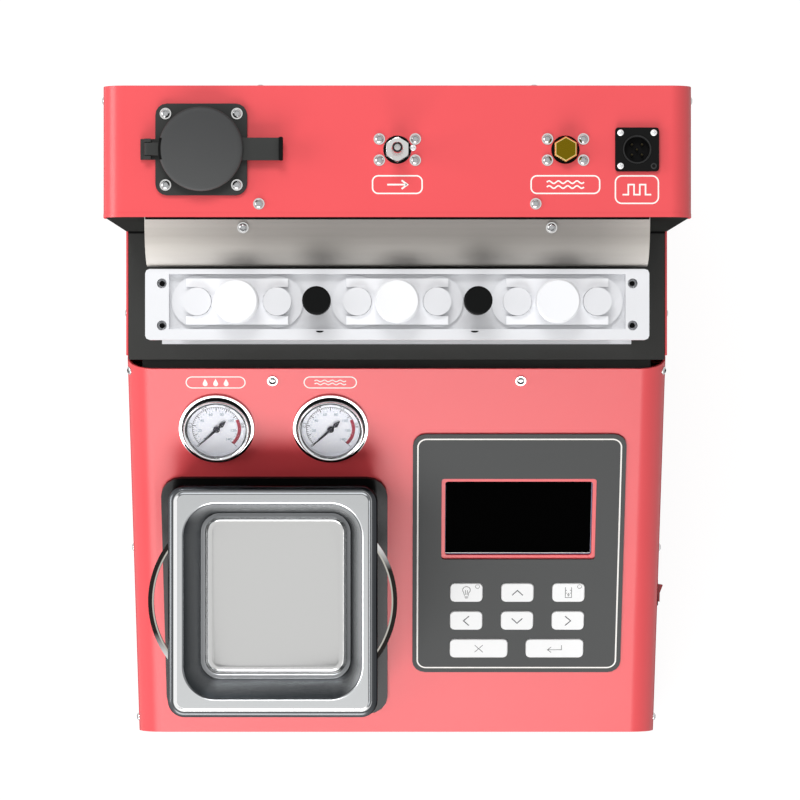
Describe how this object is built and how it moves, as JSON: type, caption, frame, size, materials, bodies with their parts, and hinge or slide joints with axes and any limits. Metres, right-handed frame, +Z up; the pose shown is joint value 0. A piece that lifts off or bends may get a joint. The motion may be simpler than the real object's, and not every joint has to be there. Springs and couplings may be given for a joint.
{
  "type": "fuel injector cleaner and tester",
  "caption": "Bench machine with a rack of glass measuring tubes on a deck, a tall fluid tower behind, and a sloped console with gauges, an ultrasonic bath and a keypad.",
  "frame": {"origin": "middle of the footprint, on the surface that the feet stand on", "axes": "+X to the operator's right, +Y to the back of the machine, +Z up"},
  "size_m": [0.4184, 0.4868, 0.51],
  "materials": {
    "red_enamel": "satin",
    "dark_grey_enamel": "matt",
    "black_plastic": "matt",
    "rubber": "matt",
    "stainless_steel": "brushed",
    "anodised_aluminium": "satin",
    "white_plastic": "satin",
    "lamp_white": "satin",
    "glass": "clear",
    "chrome": "polished",
    "brass": "satin",
    "keypad_grey": "matt",
    "display_glass": "gloss",
    "circuit_board": "satin",
    "zinc_plated_steel": "satin",
    "light_metal": "satin",
    "red_plastic": "gloss"
  },
  "bodies": {
    "housing": {"base_tray": "red_enamel", "foot_front_left": "rubber", "foot_front_right": "rubber", "foot_back_left": "rubber", "foot_back_right": "rubber", "console_cover": "red_enamel", "tower_cover": "red_enamel", "bay_liner": "dark_grey_enamel", "rear_panel": "red_enamel", "light_hood": "stainless_steel", "lamp_bar": "lamp_white", "rack_top_plate": "anodised_aluminium", "rack_bottom_plate": "anodised_aluminium", "rack_upright_left": "anodised_aluminium", "rack_upright_right": "anodised_aluminium", "glass_tube_1": "glass", "glass_tube_2": "glass", "glass_tube_3": "glass", "glass_tube_4": "glass", "glass_tube_5": "glass", "glass_tube_6": "glass", "tank_surround": "black_plastic", "gauge_case_fuel": "chrome", "gauge_case_air": "chrome", "gauge_lens_fuel": "glass", "gauge_lens_air": "glass", "keypad_plate": "keypad_grey", "display_module": "display_glass", "control_board": "circuit_board", "filler_neck": "rubber", "outlet_fitting": "zinc_plated_steel", "air_fitting": "brass", "pulse_socket": "black_plastic", "rocker_frame": "black_plastic", "fuel_reservoir": "white_plastic", "fuel_pump": "light_metal", "power_supply": "light_metal", "power_inlet": "black_plastic"},
    "tank": {"tank_pan": "stainless_steel", "transducer": "light_metal"},
    "cap": {"filler_cap": "rubber"},
    "clamp_bar_1": {"clamp_bar_1": "white_plastic"},
    "clamp_bar_2": {"clamp_bar_2": "white_plastic"},
    "clamp_bar_3": {"clamp_bar_3": "white_plastic"},
    "clamp_knob_1": {"clamp_knob_1": "white_plastic"},
    "clamp_knob_2": {"clamp_knob_2": "white_plastic"},
    "clamp_knob_3": {"clamp_knob_3": "white_plastic"},
    "guide_knob_left": {"guide_knob_left": "black_plastic"},
    "guide_knob_right": {"guide_knob_right": "black_plastic"},
    "needle_fuel": {"gauge_needle_fuel": "black_plastic"},
    "needle_air": {"gauge_needle_air": "black_plastic"},
    "rocker": {"rocker": "red_plastic"},
    "key_light": {"key_light": "white_plastic"},
    "key_up": {"key_up": "white_plastic"},
    "key_drain": {"key_drain": "white_plastic"},
    "key_left": {"key_left": "white_plastic"},
    "key_down": {"key_down": "white_plastic"},
    "key_right": {"key_right": "white_plastic"},
    "key_exit": {"key_exit": "white_plastic"},
    "key_enter": {"key_enter": "white_plastic"}
  },
  "joints": [
    {"name": "tank_lift", "type": "slide", "parent": "housing", "child": "tank", "axis": [0, 0, 1], "range_m": [0, 0.12]},
    {"name": "cap_hinge", "type": "hinge", "parent": "housing", "child": "cap", "pos_m": [-0.1739, 0.1972, 0.4871], "axis": [0, -1, 0], "range_deg": [0, 110]},
    {"name": "clamp_turn_1", "type": "hinge", "parent": "clamp_bar_1", "child": "clamp_knob_1", "pos_m": [-0.113, 0.092, 0.449], "axis": [0, 0, 1], "range_deg": [0, 1085]},
    {"name": "clamp_turn_2", "type": "hinge", "parent": "clamp_bar_2", "child": "clamp_knob_2", "pos_m": [0, 0.092, 0.449], "axis": [0, 0, 1], "range_deg": [0, 1085]},
    {"name": "clamp_turn_3", "type": "hinge", "parent": "clamp_bar_3", "child": "clamp_knob_3", "pos_m": [0.113, 0.092, 0.449], "axis": [0, 0, 1], "range_deg": [0, 1085]},
    {"name": "clamp_rise_1", "type": "slide", "parent": "housing", "child": "clamp_bar_1", "axis": [0, 0, 1], "range_m": [0, 0.0045]},
    {"name": "clamp_rise_2", "type": "slide", "parent": "housing", "child": "clamp_bar_2", "axis": [0, 0, 1], "range_m": [0, 0.0045]},
    {"name": "clamp_rise_3", "type": "slide", "parent": "housing", "child": "clamp_bar_3", "axis": [0, 0, 1], "range_m": [0, 0.0045]},
    {"name": "guide_turn_left", "type": "hinge", "parent": "housing", "child": "guide_knob_left", "pos_m": [-0.0565, 0.092, 0.46], "axis": [0, 0, 1], "continuous": true},
    {"name": "guide_turn_right", "type": "hinge", "parent": "housing", "child": "guide_knob_right", "pos_m": [0.0565, 0.092, 0.46], "axis": [0, 0, 1], "continuous": true},
    {"name": "needle_turn_fuel", "type": "hinge", "parent": "housing", "child": "needle_fuel", "pos_m": [-0.1381, 0.0009, 0.19625], "axis": [0, 0.4496, -0.8932], "range_deg": [0, 270], "stiffness_Nm_per_rad": 0.0001, "springref_deg": -11.46},
    {"name": "needle_turn_air", "type": "hinge", "parent": "housing", "child": "needle_air", "pos_m": [-0.0506, 0.0009, 0.19625], "axis": [0, 0.4496, -0.8932], "range_deg": [0, 270], "stiffness_Nm_per_rad": 0.0001, "springref_deg": -11.46},
    {"name": "rocker_tip", "type": "hinge", "parent": "housing", "child": "rocker", "pos_m": [0.206, -0.1305, 0.072], "axis": [0, 0, 1], "range_deg": [0, 22]},
    {"name": "press_light", "type": "slide", "parent": "housing", "child": "key_light", "axis": [0, 0.4496, -0.8932], "range_m": [0, 0.0006], "stiffness_N_per_m": 400, "springref_m": -0.0006},
    {"name": "press_up", "type": "slide", "parent": "housing", "child": "key_up", "axis": [0, 0.4496, -0.8932], "range_m": [0, 0.0006], "stiffness_N_per_m": 400, "springref_m": -0.0006},
    {"name": "press_drain", "type": "slide", "parent": "housing", "child": "key_drain", "axis": [0, 0.4496, -0.8932], "range_m": [0, 0.0006], "stiffness_N_per_m": 400, "springref_m": -0.0006},
    {"name": "press_left", "type": "slide", "parent": "housing", "child": "key_left", "axis": [0, 0.4496, -0.8932], "range_m": [0, 0.0006], "stiffness_N_per_m": 400, "springref_m": -0.0006},
    {"name": "press_down", "type": "slide", "parent": "housing", "child": "key_down", "axis": [0, 0.4496, -0.8932], "range_m": [0, 0.0006], "stiffness_N_per_m": 400, "springref_m": -0.0006},
    {"name": "press_right", "type": "slide", "parent": "housing", "child": "key_right", "axis": [0, 0.4496, -0.8932], "range_m": [0, 0.0006], "stiffness_N_per_m": 400, "springref_m": -0.0006},
    {"name": "press_exit", "type": "slide", "parent": "housing", "child": "key_exit", "axis": [0, 0.4496, -0.8932], "range_m": [0, 0.0006], "stiffness_N_per_m": 400, "springref_m": -0.0006},
    {"name": "press_enter", "type": "slide", "parent": "housing", "child": "key_enter", "axis": [0, 0.4496, -0.8932], "range_m": [0, 0.0006], "stiffness_N_per_m": 400, "springref_m": -0.0006}
  ],
  "couplings": [
    {"joint": "clamp_turn_1", "follows": "clamp_rise_1", "rad_per_m": 4188.8},
    {"joint": "clamp_turn_2", "follows": "clamp_rise_2", "rad_per_m": 4188.8},
    {"joint": "clamp_turn_3", "follows": "clamp_rise_3", "rad_per_m": 4188.8}
  ]
}
